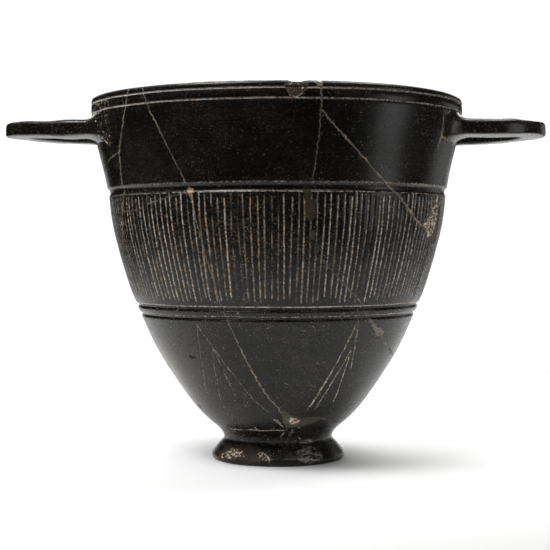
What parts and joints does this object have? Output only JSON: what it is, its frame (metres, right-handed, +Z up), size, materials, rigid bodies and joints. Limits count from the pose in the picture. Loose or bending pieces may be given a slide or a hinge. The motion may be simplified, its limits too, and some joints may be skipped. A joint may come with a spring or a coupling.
{
  "type": "skyphos",
  "caption": "Deep burnished black clay drinking cup with two horizontal loop handles, tooled bands, incised vertical lines and a flaring ring foot.",
  "frame": {"origin": "centre of the ring foot's resting plane, on the cup's turning axis", "axes": "+Z up along the turning axis, X through both handles, -Y towards the front"},
  "size_m": [0.2333, 0.161, 0.1559],
  "materials": {
    "burnished_clay": "burnished, satin to glossy"
  },
  "bodies": {
    "root": {"skyphos": "burnished_clay"}
  },
  "joints": []
}
